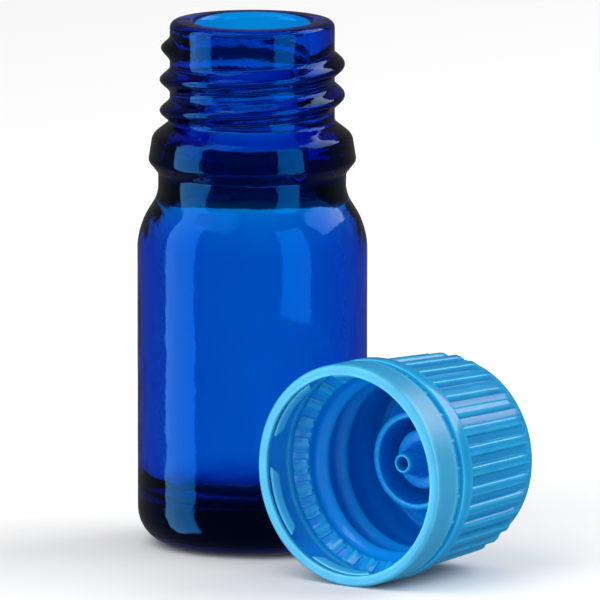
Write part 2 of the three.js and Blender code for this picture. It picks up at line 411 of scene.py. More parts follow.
@dataclass(frozen=True)
class PlasticFinish:
    """Moulded polypropylene.

    Attributes:
        name: the material's name.
        deep: its colour where the mix runs dark.
        light: its colour where the mix runs light.
        edge: painted highlight colour laid on convex edges.
        inside: painted light: the deeper colour of the hollow side, standing in for light that
            passes through the wall and bounces inside.
        gloss: lowest and highest roughness.
        grain: size of the surface grain, in millimetres.
        relief: depth of the grain, in millimetres.
        glow: share of light that passes under the skin.
        shine: how much the skin reflects.
        mottle: size of the colour's mottle, in millimetres.
        stretch: how much the streaks are drawn out along the flow.
        ior: how strongly the plastic bends light.
        glow_depth: how deep light passes under the skin, in millimetres.
        glow_reach: how far its red, green and blue go, as shares of that.
    """

    name: str
    deep: Colour
    light: Colour
    edge: Colour
    inside: Colour
    gloss: tuple[float, float]
    grain: float
    relief: float
    glow: float
    shine: float
    mottle: float = 3.2
    stretch: float = 0.12
    ior: float = 1.49
    glow_depth: float = 1.2
    glow_reach: tuple[float, float, float] = (0.1, 0.7, 1.0)

    def material(self, skin: Tree, flow: Matrix) -> Material:
        """Makes the material.

        Args:
            skin: the shared moulded skin group.
            flow: turns object axes into the closure's own, whose Z the melt flowed along.

        Returns:
            The plastic material.
        """
        made, sheet = new_material(self.name)
        place = sheet.node("ShaderNodeTexCoord").outputs["Object"]
        turned = sheet.node("ShaderNodeMapping", Vector=place, Rotation=tuple(flow.to_euler()))
        stretched = sheet.node(
            "ShaderNodeMapping", Vector=turned.outputs[0], Scale=(1.0, 1.0, self.stretch),
        )
        # the edge mask carries a painted highlight on convex edges
        edge = sheet.node("ShaderNodeAttribute", {"attribute_name": "edge"})
        # the inside mask carries painted light on the hollow side
        inside = sheet.node("ShaderNodeAttribute", {"attribute_name": "inside"})
        surface = sheet.node(
            "ShaderNodeGroup", {"node_tree": skin},
            Position=place, Flow_Position=stretched.outputs[0],
            Deep_Colour=self.deep, Light_Colour=self.light,
            Inside=inside.outputs["Fac"], Inside_Colour=self.inside,
            Edge=edge.outputs["Fac"], Edge_Colour=self.edge,
            Grain_Size=self.grain, Mottle_Size=self.mottle,
            Low_Roughness=self.gloss[0], High_Roughness=self.gloss[1],
        ).outputs
        bump = sheet.node(
            "ShaderNodeBump", Height=surface["Height"], Strength=1.0, Distance=self.relief * MM,
        )
        shader = sheet.node(
            "ShaderNodeBsdfPrincipled",
            Base_Color=surface["Colour"], Roughness=surface["Roughness"], IOR=self.ior,
            Normal=bump.outputs[0], Subsurface_Weight=self.glow,
            Subsurface_Scale=self.glow_depth * MM, Subsurface_Radius=self.glow_reach,
            Specular_IOR_Level=self.shine,
        )
        sheet.node("ShaderNodeOutputMaterial", Surface=shader.outputs[0])
        return made


# edge colours are painted highlights on convex edges; inside colours are painted light on the
# hollow side
GLOSSY_CAP = PlasticFinish(
    "turquoise_gloss",
    deep=(0.001, 0.24, 0.55, 1), light=(0.002, 0.28, 0.61, 1),
    edge=(0.02, 0.46, 0.74, 1), inside=(0.0, 0.27, 0.82, 1),
    gloss=(0.17, 0.24), grain=0.5, relief=0.0012, glow=0.06, shine=0.6,
)
SATIN_BAND = PlasticFinish(
    "turquoise_satin",
    deep=(0.003, 0.28, 0.55, 1), light=(0.006, 0.32, 0.60, 1),
    edge=(0.06, 0.52, 0.76, 1), inside=(0.001, 0.29, 0.80, 1),
    gloss=(0.36, 0.46), grain=0.14, relief=0.006, glow=0.03, shine=1.0,
)
SOFT_INSERT = PlasticFinish(
    "turquoise_soft",
    deep=(0.001, 0.22, 0.60, 1), light=(0.002, 0.25, 0.66, 1),
    edge=(0.004, 0.42, 0.78, 1), inside=(0.0, 0.25, 0.80, 1),
    gloss=(0.24, 0.32), grain=0.6, relief=0.0006, glow=0.04, shine=0.5,
)


# ---- mesh helpers


def fit_corner(before: Corner, corner: Corner, after: Corner) -> float:
    """How far along its edges a corner's fillet starts.

    Args:
        before: the corner before it.
        corner: the corner, with its fillet radius.
        after: the corner after it.

    Returns:
        The distance in millimetres.
    """
    here = Vector(corner[:2])
    half = (Vector(before[:2]) - here).angle(Vector(after[:2]) - here) / 2
    return corner[2] / math.tan(half)


def soften(bm: BMesh, geom: list, offset: float, segments: int, affect: str = "EDGES") -> None:
    """Rounds edges or points of a mesh.

    Args:
        bm: the mesh to change.
        geom: its edges or points to round.
        offset: how far from each the rounding starts, in millimetres.
        segments: parts of the rounding.
        affect: "EDGES" or "VERTICES", as the operator names them.
    """
    bmesh.ops.bevel(
        bm, geom=geom, offset=offset, offset_type="OFFSET", affect=affect,
        segments=segments, profile=0.5, material=-1,
    )


def turned_mesh(corners: list[Corner], steps: int, spacing: Spacing, arc: int) -> BMesh:
    """A solid of revolution about Z from a rounded outline.

    Args:
        corners: radius, height and fillet of each corner, in order, in millimetres.
        steps: parts of the full turn.
        spacing: longest edge allowed at a radius and height.
        arc: segments in each fillet.

    Returns:
        The closed mesh, in millimetres.
    """
    bm = bmesh.new()
    points = [bm.verts.new((radius, 0, height)) for radius, height, _ in corners]
    open_outline = corners[0][0] == 0 and corners[-1][0] == 0
    count = len(points)
    for index in range(count - 1 if open_outline else count):
        bm.edges.new((points[index], points[(index + 1) % count]))
    for index, corner in enumerate(corners):
        if corner[2] > 0:
            reach = fit_corner(corners[index - 1], corner, corners[(index + 1) % count])
            soften(bm, [points[index]], reach, arc, "VERTICES")
    for edge in list(bm.edges):
        middle = (edge.verts[0].co + edge.verts[1].co) / 2
        cuts = math.ceil(edge.calc_length() / spacing(middle.x, middle.z)) - 1
        if cuts > 0:
            bmesh.ops.subdivide_edges(bm, edges=[edge], cuts=cuts)
    bmesh.ops.spin(
        bm, geom=bm.verts[:] + bm.edges[:], axis=Z_AXIS, cent=(0, 0, 0),
        angle=TURN, steps=steps, use_merge=True,
    )
    bmesh.ops.remove_doubles(bm, verts=bm.verts[:], dist=WELD)
    bmesh.ops.recalc_face_normals(bm, faces=bm.faces[:])
    return bm


def move_points(bm: BMesh, mover: Mover) -> None:
    """Moves each point of a mesh by a rule, and turns its faces outwards again.

    Args:
        bm: the mesh to change.
        mover: gives a point's new place from its old one.
    """
    for vert in bm.verts:
        vert.co = mover(vert.co)
    bmesh.ops.recalc_face_normals(bm, faces=bm.faces[:])


def repeated(bm: BMesh, count: int) -> BMesh:
    """Copies what a mesh holds evenly round Z.

    Args:
        bm: the mesh with the first one in it.
        count: how many there are in the end.

    Returns:
        The same mesh.
    """
    first = bm.verts[:] + bm.edges[:] + bm.faces[:]
    for index in range(1, count):
        copied = bmesh.ops.duplicate(bm, geom=first)["geom"]
        verts = [item for item in copied if isinstance(item, bmesh.types.BMVert)]
        turn = Matrix.Rotation(TURN * index / count, 3, "Z")
        bmesh.ops.rotate(bm, verts=verts, cent=(0, 0, 0), matrix=turn)
    return bm


def split_block(size: tuple[float, float, float], axis: int) -> BMesh:
    """A block about the origin, cut in four along one axis.

    Args:
        size: its three sides, in millimetres.
        axis: the axis it is cut along, as an index.

    Returns:
        The block.
    """
    bm = bmesh.new()
    bmesh.ops.create_cube(bm, size=1.0)
    along = [edge for edge in bm.edges if edge.verts[0].co[axis] * edge.verts[1].co[axis] < 0]
    bmesh.ops.scale(bm, vec=size, verts=bm.verts[:])
    bmesh.ops.subdivide_edges(bm, edges=along, cuts=3, use_grid_fill=True)
    return bm


def mark_inside(bm: BMesh, rule: Callable[[float, float], bool] | None = None) -> BMesh:
    """Marks the hollow side of a piece, as the attribute "inside", which carries the plastics'
    painted inside light.

    Args:
        bm: the mesh, in the closure's millimetres.
        rule: tells from a radius and a height whether a point is on the hollow side.
            Without one, every point is.

    Returns:
        The same mesh.
    """
    layer = bm.verts.layers.float.new("inside")
    for vert in bm.verts:
        radius = math.hypot(vert.co.x, vert.co.y)
        vert[layer] = float(rule is None or rule(radius, vert.co.z))
    return bm


def edge_mask(mesh: bpy.types.Mesh, sharpness: float = 3.0) -> None:
    """Stores how strongly each point lies on a convex edge, as the attribute "edge", which masks
    the plastics' painted edge highlight.

    Args:
        mesh: the finished mesh.
        sharpness: the bend, per millimetre, that counts as a full edge.
    """
    bm = bmesh.new()
    bm.from_mesh(mesh)
    bend = [0.0] * len(bm.verts)
    for vert in bm.verts:
        turn = 0.0
        for edge in vert.link_edges:
            other = edge.other_vert(vert)
            along = other.co - vert.co
            if along.length > 0:
                turn = max(turn, -along.dot(vert.normal) / along.length_squared * MM)
        bend[vert.index] = min(1.0, max(0.0, turn / sharpness))
    bm.free()
    layer = mesh.attributes.new("edge", "FLOAT", "POINT")
    layer.data.foreach_set("value", bend)


def finish_piece(
    name: str, bm: BMesh, placement: Matrix, material: Material,
    body: str, nodes: list[str],
) -> None:
    """Places a mesh, makes it an object, hangs it on its body and hides the CAD nodes that it
    replaces.

    Args:
        name: the piece's name.
        bm: the mesh in its sub-assembly's millimetres; it is freed.
        placement: carries those millimetres to the row frame's metres.
        material: the finish.
        body: the body that it rides on.
        nodes: the CAD nodes that it replaces.
    """
    bmesh.ops.transform(bm, matrix=placement, verts=bm.verts[:])
    mesh = bpy.data.meshes.new(name)
    bm.normal_update()
    bm.to_mesh(mesh)
    bm.free()
    mesh.shade_smooth()
    mesh.set_sharp_from_angle(angle=SHARP_ANGLE)
    edge_mask(mesh)
    mesh.materials.append(material)
    piece = bpy.data.objects.new(name, mesh)
    bpy.context.scene.collection.objects.link(piece)
    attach(piece, body)
    if nodes:
        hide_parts(*nodes)
    mesh.calc_loop_triangles()
    LOG.info("%s on %s: %d triangles", name, body, len(mesh.loop_triangles))


@dataclass(frozen=True)
class Helix:
    """A right-handed screw thread's ridge on a round wall, sunk into the wall at both ends.

    Attributes:
        foot: height of the ridge's start.
        pitch: rise of one turn.
        turns: how many turns it makes.
        height: how far it stands off the wall.
        half_width: half of its width along the axis.
        fade: share of a turn over which each end sinks.
        lead: how far past the left side the ridge ends.
    """

    foot: float
    pitch: float
    turns: float
    height: float
    half_width: float
    fade: float
    lead: float

    def relief(self, angle: float, level: float) -> float:
        """How far the ridge stands off the wall at a point.

        Args:
            angle: the point's angle round Z.
            level: its height.

        Returns:
            The relief in millimetres.
        """
        start = math.pi * (1 - 2 * self.turns) + self.lead
        first = ((angle - start) % TURN) / TURN
        best = 0.0
        for lap in range(math.ceil(self.turns) + 1):
            along = first + lap
            if along > self.turns:
                break
            off = abs(level - self.foot - self.pitch * along) / self.half_width
            if off < 1:
                end = min(1.0, min(along, self.turns - along) / self.fade)
                rise = end * end * (3 - 2 * end)
                best = max(best, self.height * rise * math.cos(off * math.pi / 2) ** 1.6)
        return best


# ---- the glass


@dataclass
class GlassVial:
    """The blown glass body, with its neck bead and outside thread.

    Heights are above the table and all sizes are in millimetres.

    Attributes:
        bead_edge: height of the bead's widest line.
        bore_foot: where the neck's bore starts to widen.
        inner_shoulder: where the inside reaches its full width.
        steps: parts of the full turn.
        fine: longest edge on the threaded neck.
        coarse: longest edge elsewhere.
        outer_wave: depth of the slow waves on the outside skin.
        inner_wave: depth of the waves on the inside skin, which touched no mould.
        bore_calm: share of those waves that is left in the neck.
        wave_scale: slow waves per millimetre.
        dimple_scale: small dimples per millimetre.
        dimple_share: how deep the dimples are against the waves.
        calm_foot: height below which the glass is true.
        calm_rise: height over which the waves come in above it.
        lip_fade: height over which the thread fades below the lip.
    """

    height: float = 51.0
    radius: float = 11.1
    push_up_height: float = 0.8
    push_up_radius: float = 6.4
    shoulder_foot: float = 30.87
    collar_foot: float = 34.1
    collar_radius: float = 9.08
    bead_foot: float = 36.2
    bead_edge: float = 37.4
    bead_radius: float = 10.05
    bead_top: float = 39.9
    bead_top_radius: float = 9.65
    neck_foot: float = 41.2
    neck_radius: float = 7.96
    mouth_fillet: float = 0.7
    bore_radius: float = 5.55
    bore_foot: float = 37.2
    inner_shoulder: float = 31.84
    inner_radius: float = 8.9
    base: float = 4.5
    steps: int = 224
    fine: float = 0.22
    coarse: float = 1.1
    outer_wave: float = 0.014
    inner_wave: float = 0.07
    bore_calm: float = 0.3
    wave_scale: float = 0.22
    dimple_scale: float = 0.7
    dimple_share: float = 0.45
    calm_foot: float = 1.2
    calm_rise: float = 3.0
    lip_fade: float = 0.6
    thread: Helix = Helix(
        foot=41.6, pitch=3.0, turns=2.3, height=0.99, half_width=1.22, fade=0.12,
        lead=THREAD_LEAD,
    )

    def outline(self) -> list[Corner]:
        """The outline, up the outside, over the lip and down the inside.

        Returns:
            Its corners: radius, height and fillet.
        """
        return [
            (0, self.push_up_height, 0),
            (self.push_up_radius - self.push_up_height, self.push_up_height, 1.4),
            (self.push_up_radius, 0, 0.3),
            (self.radius, 0, 3.6),
            (self.radius, self.shoulder_foot, 6.5),
            (self.collar_radius, self.collar_foot, 3),
            (self.collar_radius, self.bead_foot, 0.6),
            (self.bead_radius, self.bead_edge, 0.6),
            (self.bead_top_radius, self.bead_top, 1.2),
            (self.neck_radius, self.neck_foot, 0.6),
            (self.neck_radius, self.height, self.mouth_fillet),
            (self.bore_radius, self.height, self.mouth_fillet),
            (self.bore_radius, self.bore_foot, 3),
            (self.inner_radius, self.inner_shoulder, 6.5),
            (self.inner_radius, self.base, 3),
            (0, self.base, 0),
        ]

    def spacing(self, radius: float, height: float) -> float:
        """Longest edge at a place on the outline."""
        on_thread = radius > self.neck_radius - 0.1 and height > self.thread.foot - 2
        return self.fine if on_thread else self.coarse

    def is_outside(self, radius: float, level: float) -> bool:
        """Whether a point lies on the outside skin."""
        in_neck = level > self.bore_foot - 0.7
        return radius > self.inner_radius + 0.2 or (in_neck and radius > self.bore_radius + 1.45)

    def shaped(self, point: Vector) -> Vector:
        """Raises the thread and gives both skins their waves.

        Args:
            point: a point of the turned body.

        Returns:
            Its new place.
        """
        radius = math.hypot(point.x, point.y)
        if radius < WELD:
            return point
        depth = self.outer_wave
        if not self.is_outside(radius, point.z):
            in_bore = point.z > self.bore_foot - 0.2
            depth = self.inner_wave * (self.bore_calm if in_bore else 1.0)
        depth *= min(1.0, max(0.0, (point.z - self.calm_foot) / self.calm_rise))
        move = depth * noise.noise(point * self.wave_scale)
        move += depth * self.dimple_share * noise.noise(point * self.dimple_scale)
        lip = self.height - self.lip_fade
        if radius > self.neck_radius - 0.02 and self.neck_foot - 0.8 < point.z < lip:
            angle = math.atan2(point.y, point.x)
            fade = min(1.0, (lip - point.z) / self.lip_fade)
            move += self.thread.relief(angle, point.z) * fade
        return Vector((point.x * (1 + move / radius), point.y * (1 + move / radius), point.z))

    def build(self, placement: Matrix, glass: Material) -> None:
        """Makes the body.

        Args:
            placement: carries millimetres about the vial's axis to the row frame.
            glass: its material.
        """
        bm = turned_mesh(self.outline(), self.steps, self.spacing, arc=8)
        move_points(bm, self.shaped)
        finish_piece(
            "glass_body", bm, placement, glass, Body.VIAL.value, ["glass_bottle"],
        )


# ---- the closure


@dataclass
class CapShell:
    """The ribbed screw cap with its grip ring, inside thread and ratchet teeth.

    Heights are above the rim and all sizes are in millimetres.

    Attributes:
        ring_foot: where the grip ring starts, at the slit.
        cone_radius: inside radius at the ring's foot, below the cone.
        cone_foot: where the cone starts.
        cone_top: where the cone meets the bore.
        bore_top: where the bore starts to narrow towards the roof.
        gate_radius: radius of the shallow mark that the mould's gate leaves.
        pocket_radius: radius of the roof's pocket for the spout.
        ribs: number of grip ribs.
        rib_half_width: half of a rib's width at its foot.
        rib_height: how far a rib stands off the skirt.
        rib_draft: how much of that is gone at the roof.
        rib_end: where the ribs' rounded ends stop.
        samples: mesh parts for each rib and its groove.
        crowding: how far the parts crowd onto the ribs.
        teeth: number of ratchet teeth.
        tooth_size: a tooth's depth, width and length along the cone.
        tooth_place: its middle's radius and height.
        tooth_cut: depth of the soft cut down its middle.
        tooth_fillet: rounding of its edges.
    """

    height: float = 18.2
    ring_foot: float = 4.2
    ring_top: float = 5.8
    ring_radius: float = 10.7
    skirt_radius: float = 9.8
    skirt_draft: float = 0.55
    cone_radius: float = 10.15
    cone_foot: float = 4.9
    cone_top: float = 6.1
    bore: float = 9.1
    bore_top: float = 13.7
    roof_bore: float = 8.6
    roof_underside: float = 17.1
    gate_radius: float = 0.7
    gate_depth: float = 0.14
    pocket_radius: float = 2.1
    pocket_roof: float = 17.6
    ribs: int = 32
    rib_half_width: float = 0.56
    rib_height: float = 0.55
    rib_draft: float = 0.1
    rib_end: float = 16.75
    samples: int = 16
    crowding: float = 0.45
    teeth: int = 28
    tooth_size: tuple[float, float, float] = (0.62, 1.56, 1.55)
    tooth_place: tuple[float, float] = (9.75, 5.54)
    tooth_cut: float = 0.06
    tooth_fillet: float = 0.16
    thread: Helix = Helix(
        foot=5.6, pitch=3.0, turns=2.2, height=0.84, half_width=1.12, fade=0.14,
        lead=THREAD_LEAD,
    )

    def outline(self) -> list[Corner]:
        """The cap's outline.

        Returns:
            Its corners: radius, height and fillet.
        """
        return [
            (0, self.height - self.gate_depth, 0),
            (self.gate_radius, self.height - self.gate_depth, 0.08),
            (self.gate_radius + 0.2, self.height, 0.1),
            (self.skirt_radius - self.skirt_draft, self.height, 1.5),
            (self.skirt_radius, self.ring_top, 0.12),
            (self.ring_radius, self.ring_top, 0.22),
            (self.ring_radius, self.ring_foot, 0.14),
            (self.cone_radius, self.ring_foot, 0.1),
            (self.cone_radius, self.cone_foot, 0.15),
            (self.bore, self.cone_top, 0.25),
            (self.bore, self.bore_top, 1.5),
            (self.roof_bore, self.roof_underside, 0.4),
            (self.pocket_radius, self.roof_underside, 0.15),
            (self.pocket_radius, self.pocket_roof, 0.1),
            (0, self.pocket_roof, 0),
        ]

    def spacing(self, radius: float, height: float) -> float:
        """Longest edge at a place on the outline: fine at the ribs' ends and on the thread.

        Args:
            radius: the place's radius.
            height: its height.

        Returns:
            The length in millimetres.
        """
        skirt = self.skirt_radius - self.skirt_draft
        if radius > skirt - 0.3 and height > self.rib_end - 1.0:
            return 0.2
        if abs(radius - self.bore) < 0.05:
            return 0.24
        return 0.9

    def rib_relief(self, angle: float, level: float) -> float:
        """How far a rib stands off the skirt at a point.

        Args:
            angle: the point's angle round Z.
            level: its height above the rim.

        Returns:
            The relief in millimetres.
        """
        pitch = TURN / self.ribs
        across = ((angle + pitch / 2) % pitch - pitch / 2) * self.skirt_radius
        beyond = max(0.0, level - (self.rib_end - self.rib_half_width))
        off = math.hypot(across, beyond) / self.rib_half_width
        height = self.rib_height - self.rib_draft * self.up_skirt(level)
        return height * (1 - off ** 5) ** 0.6 if off < 1 else 0.0

    def up_skirt(self, level: float) -> float:
        """How far up the skirt a height is, from 0 at the grip ring to 1 at the roof."""
        return (level - self.ring_top) / (self.height - self.ring_top)

    def shaped(self, point: Vector) -> Vector:
        """Crowds the mesh onto the ribs, then raises ribs and thread.

        Args:
            point: a point of the turned cap.

        Returns:
            Its new place.
        """
        radius = math.hypot(point.x, point.y)
        if radius < WELD:
            return point
        angle = math.atan2(point.y, point.x)
        angle -= self.crowding * math.sin(self.ribs * angle) / self.ribs
        skirt = self.skirt_radius - self.skirt_draft * self.up_skirt(point.z)
        over_ring = point.z > self.ring_top - WELD
        on_skirt = radius > skirt - 0.02
        on_roof = point.z > self.height - 1.4 and radius > self.bore - 1
        near_bore = abs(radius - self.bore) < 0.3
        if over_ring and (on_skirt or on_roof):
            relief = self.rib_relief(angle, point.z)
            if point.z < self.ring_top + 0.2 and radius > self.skirt_radius - 0.02:
                ring_width = self.ring_radius - self.skirt_radius
                relief *= max(0.0, 1 - (radius - self.skirt_radius) / ring_width)
            radius += relief
        elif near_bore and self.thread.foot - 0.6 < point.z < self.roof_underside - 0.4:
            radius -= self.thread.relief(angle, point.z)
        return Vector((radius * math.cos(angle), radius * math.sin(angle), point.z))

    def is_inside(self, radius: float, level: float) -> bool:
        """Whether a point of the cap is on its hollow side.

        Args:
            radius: the point's radius.
            level: its height.

        Returns:
            True on the cone, the bore and the roof's underside.
        """
        wall = self.bore + 0.3 if level > self.cone_top else self.cone_radius + 0.15
        narrowing = max(0.0, level - self.bore_top) * 0.12
        return level < self.height - 0.3 and radius < wall - narrowing

    def tooth(self) -> BMesh:
        """One ratchet tooth on the cone inside the grip ring, with a soft cut down its middle.

        Returns:
            The tooth, in millimetres.
        """
        bm = split_block(self.tooth_size, 1)
        for vert in bm.verts:
            if abs(vert.co.y) < 0.1 and vert.co.x < 0:
                vert.co.x += self.tooth_cut
        square = [edge for edge in bm.edges if edge.calc_face_angle(0) > 0.9]
        soften(bm, square, self.tooth_fillet, 3)
        cone = math.atan2(self.bore - self.cone_radius, self.cone_top - self.cone_foot)
        lean = Matrix.Rotation(cone, 3, "Y")
        bmesh.ops.rotate(bm, verts=bm.verts[:], cent=(0, 0, 0), matrix=lean)
        radius, level = self.tooth_place
        bmesh.ops.translate(bm, verts=bm.verts[:], vec=(radius, 0, level))
        return bm

    def build(self, placement: Matrix, gloss: Material) -> None:
        """Makes the cap and its teeth.

        Args:
            placement: carries the closure's millimetres to the row frame.
            gloss: the cap's material.
        """
        bm = turned_mesh(self.outline(), self.ribs * self.samples, self.spacing, arc=4)
        move_points(bm, self.shaped)
        mark_inside(bm, self.is_inside)
        finish_piece("cap_shell", bm, placement, gloss, Body.CAP.value, ["screw_cap"])
        teeth = mark_inside(repeated(self.tooth(), self.teeth))
        finish_piece("ratchet_teeth", teeth, placement, gloss, Body.CAP.value, [])


@dataclass
class TearBand:
    """The tamper band below the slit, with its bridges and its retaining flaps.

    Heights are above the rim and all sizes are in millimetres.

    Attributes:
        height: the band's height from the rim.
        bore: its inside radius.
        radius: its outside radius.
        lip_bore: inside radius of the lip at the rim.
        web: thickness of the thin web left at the bottom of the slit.
        slit_top: height where that web meets the cap.
        bridge_size: a bridge's depth, width and height.
        bridge_place: its middle's radius and height.
        bridge_waist: share of its width that the waist takes away.
        flap_section: radius and height of each corner of a flap's section.
        flap_arc: angle that a flap covers at its hinge.
        flap_taper: how much of that each slanted end loses towards the flap's edge.
        flap_fillet: rounding of its edges.
    """

    height: float = 3.3
    bore: float = 10.15
    radius: float = 10.7
    lip_bore: float = 9.65
    web: float = 0.08
    slit_top: float = 4.18
    steps: int = 192
    bridges: int = 24
    bridge_size: tuple[float, float, float] = (0.2, 0.42, 0.86)
    bridge_place: tuple[float, float] = (10.24, 3.75)
    bridge_waist: float = 0.4
    flaps: int = 6
    flap_section: tuple[tuple[float, float], ...] = (
        (9.60, 0.62), (9.80, 0.74), (9.60, 1.58), (9.46, 1.62), (9.30, 1.56), (9.47, 0.72),
    )
    flap_arc: float = math.radians(42)
    flap_taper: float = math.radians(5)
    flap_fillet: float = 0.05

    def outline(self) -> list[Corner]:
        """The band's outline.

        Returns:
            Its corners: radius, height and fillet.
        """
        return [
            (self.lip_bore, 0, 0.14),
            (self.radius, 0, 0.34),
            (self.radius, self.height, 0.14),
            (self.bore + self.web, self.height, 0.04),
            (self.bore + self.web, self.slit_top, 0),
            (self.bore, self.slit_top, 0),
            (self.bore, 0.62, 0.12),
            (self.lip_bore, 0.45, 0.12),
        ]

    def is_inside(self, radius: float, level: float) -> bool:
        """Whether a point of the band is on its hollow side."""
        return radius < self.bore + self.web + 0.05 and level > 0.3

    def bridge(self) -> BMesh:
        """One breakable web across the slit, waisted where it tears.

        Returns:
            The web, in millimetres.
        """
        bm = split_block(self.bridge_size, 2)
        half = self.bridge_size[2] / 2
        for vert in bm.verts:
            from_middle = min(1.0, abs(vert.co.z) / half)
            waist = 1 - self.bridge_waist * math.cos(from_middle * math.pi / 2)
            vert.co.x *= waist
            vert.co.y *= waist
        radius, level = self.bridge_place
        bmesh.ops.translate(bm, verts=bm.verts[:], vec=(radius, 0, level))
        return bm

    def flap(self) -> BMesh:
        """One retaining flap with slanted, pointed ends.

        Returns:
            The first flap, centred on the closure's X axis, in millimetres.
        """
        bm = bmesh.new()
        points = [bm.verts.new((radius, 0, level)) for radius, level in self.flap_section]
        face = bm.faces.new(points)
        back = Matrix.Rotation(-self.flap_arc / 2, 3, "Z")
        bmesh.ops.rotate(bm, verts=points, cent=(0, 0, 0), matrix=back)
        bmesh.ops.spin(
            bm, geom=[face], axis=Z_AXIS, cent=(0, 0, 0),
            angle=self.flap_arc, steps=40, use_merge=False,
        )
        bmesh.ops.remove_doubles(bm, verts=bm.verts[:], dist=WELD)
        hinge = self.flap_section[0][1]
        for vert in bm.verts:
            angle = math.atan2(vert.co.y, vert.co.x)
            radius = math.hypot(vert.co.x, vert.co.y)
            angle *= 1 - (vert.co.z - hinge) * self.flap_taper / (self.flap_arc / 2)
            vert.co.x, vert.co.y = radius * math.cos(angle), radius * math.sin(angle)
        bmesh.ops.recalc_face_normals(bm, faces=bm.faces[:])
        rims = [edge for edge in bm.edges if edge.is_manifold and edge.calc_face_angle(0) > 0.5]
        soften(bm, rims, self.flap_fillet, 2)
        return mark_inside(bm)

    def build(self, placement: Matrix, satin: Material) -> None:
        """Makes the band, its bridges and its flaps.

        Args:
            placement: carries the closure's millimetres to the row frame.
            satin: the band's material.
        """
        bm = turned_mesh(self.outline(), self.steps, lambda radius, height: 0.5, arc=4)
        mark_inside(bm, self.is_inside)
        finish_piece(
            "tear_band", bm, placement, satin, Body.BAND.value, ["tamper_band"],
        )
        webs = mark_inside(repeated(self.bridge(), self.bridges))
        nodes = [f"tamper_bridge_{index + 1:02d}" for index in range(self.bridges)]
        finish_piece("bridge_webs", webs, placement, satin, Body.BAND.value, nodes)
        for index in range(self.flaps):
            turned = placement @ Matrix.Rotation(TURN * index / self.flaps, 4, "Z")
            number = f"{index + 1:02d}"
            finish_piece(
                f"flap_tongue_{number}", self.flap(), turned, satin,
                f"flap_{number}", [f"retaining_flap_{number}"],
            )


@dataclass
class DropperInsert:
    """The dropper insert: a flange and plug ring round a tapered nozzle.

    Heights are above the rim and all sizes are in millimetres.

    Attributes:
        hole_radius: radius of the drop hole.
        nozzle_tip: height of the nozzle's end.
        nozzle_root: where the nozzle stands on the hub.
        floor: height of the floor between hub and plug, which is the flange's face.
        plug_tip: height of the plug's end.
        plug_lead: radius of the plug's end.
        plug_seal: height of the plug's widest line.
        spout_top: height of the spout's end, in the roof's pocket.
        steps: parts of the full turn.
        vent_place: distance of the vent from the axis.
        vent_radius: its radius.
        vent_depth: how deep it is sunk.
    """

    hole_radius: float = 0.65
    nozzle_tip: float = 8.8
    nozzle_tip_radius: float = 0.95
    nozzle_root: float = 11.9
    nozzle_radius: float = 1.65
    hub_radius: float = 2.9
    floor: float = 16.2
    plug_bore: float = 4.15
    plug_tip: float = 10.6
    plug_lead: float = 4.75
    plug_neck: float = 5.5
    plug_radius: float = 5.6
    plug_seal: float = 15.5
    flange_radius: float = 7.6
    flange_top: float = 16.9
    spout_radius: float = 1.3
    spout_top: float = 17.4
    steps: int = 128
    vent_place: float = 3.525
    vent_radius: float = 0.4
    vent_depth: float = 0.5

    def outline(self) -> list[Corner]:
        """The insert's outline.

        Returns:
            Its corners: radius, height and fillet.
        """
        return [
            (self.hole_radius, self.nozzle_tip, 0.12),
            (self.nozzle_tip_radius, self.nozzle_tip, 0.28),
            (self.nozzle_radius, self.nozzle_root, 0.3),
            (self.hub_radius, self.nozzle_root, 0.35),
            (self.hub_radius, self.floor, 0.2),
            (self.plug_bore, self.floor, 0.2),
            (self.plug_bore, self.plug_tip, 0.2),
            (self.plug_lead, self.plug_tip, 0.28),
            (self.plug_neck, self.plug_seal - 0.7, 0.6),
            (self.plug_radius, self.plug_seal, 0.3),
            (self.plug_neck, self.floor, 0.08),
            (self.flange_radius, self.floor, 0.12),
            (self.flange_radius, self.flange_top, 0.12),
            (self.nozzle_radius + 0.25, self.flange_top, 0.12),
            (self.nozzle_radius, self.spout_top, 0.08),
            (self.spout_radius, self.spout_top, 0.06),
            (self.hole_radius, self.flange_top, 0.1),
        ]

    def build(self, placement: Matrix, soft: Material) -> None:
        """Makes the insert.

        Args:
            placement: carries the closure's millimetres to the row frame.
            soft: its material.
        """
        bm = turned_mesh(self.outline(), self.steps, lambda radius, height: 0.45, arc=4)
        self.sink_vent(bm)
        mark_inside(bm)
        finish_piece(
            "dropper_nozzle", bm, placement, soft,
            Body.INSERT.value, ["dropper_insert"],
        )

    def sink_vent(self, bm: BMesh) -> None:
        """Sinks the air vent into the floor between hub and plug.

        Args:
            bm: the turned insert.
        """
        centre = Vector((self.vent_place, 0, self.floor))
        level = [face for face in bm.faces if abs(face.normal.z) > 0.9]
        faces = [
            face for face in level
            if (face.calc_center_median() - centre).length < self.vent_radius
        ]
        sunk = bmesh.ops.extrude_face_region(bm, geom=faces)["geom"]
        verts = [item for item in sunk if isinstance(item, bmesh.types.BMVert)]
        bmesh.ops.translate(bm, verts=verts, vec=(0, 0, self.vent_depth))
        bmesh.ops.delete(bm, geom=faces, context="FACES")
        bmesh.ops.recalc_face_normals(bm, faces=bm.faces[:])


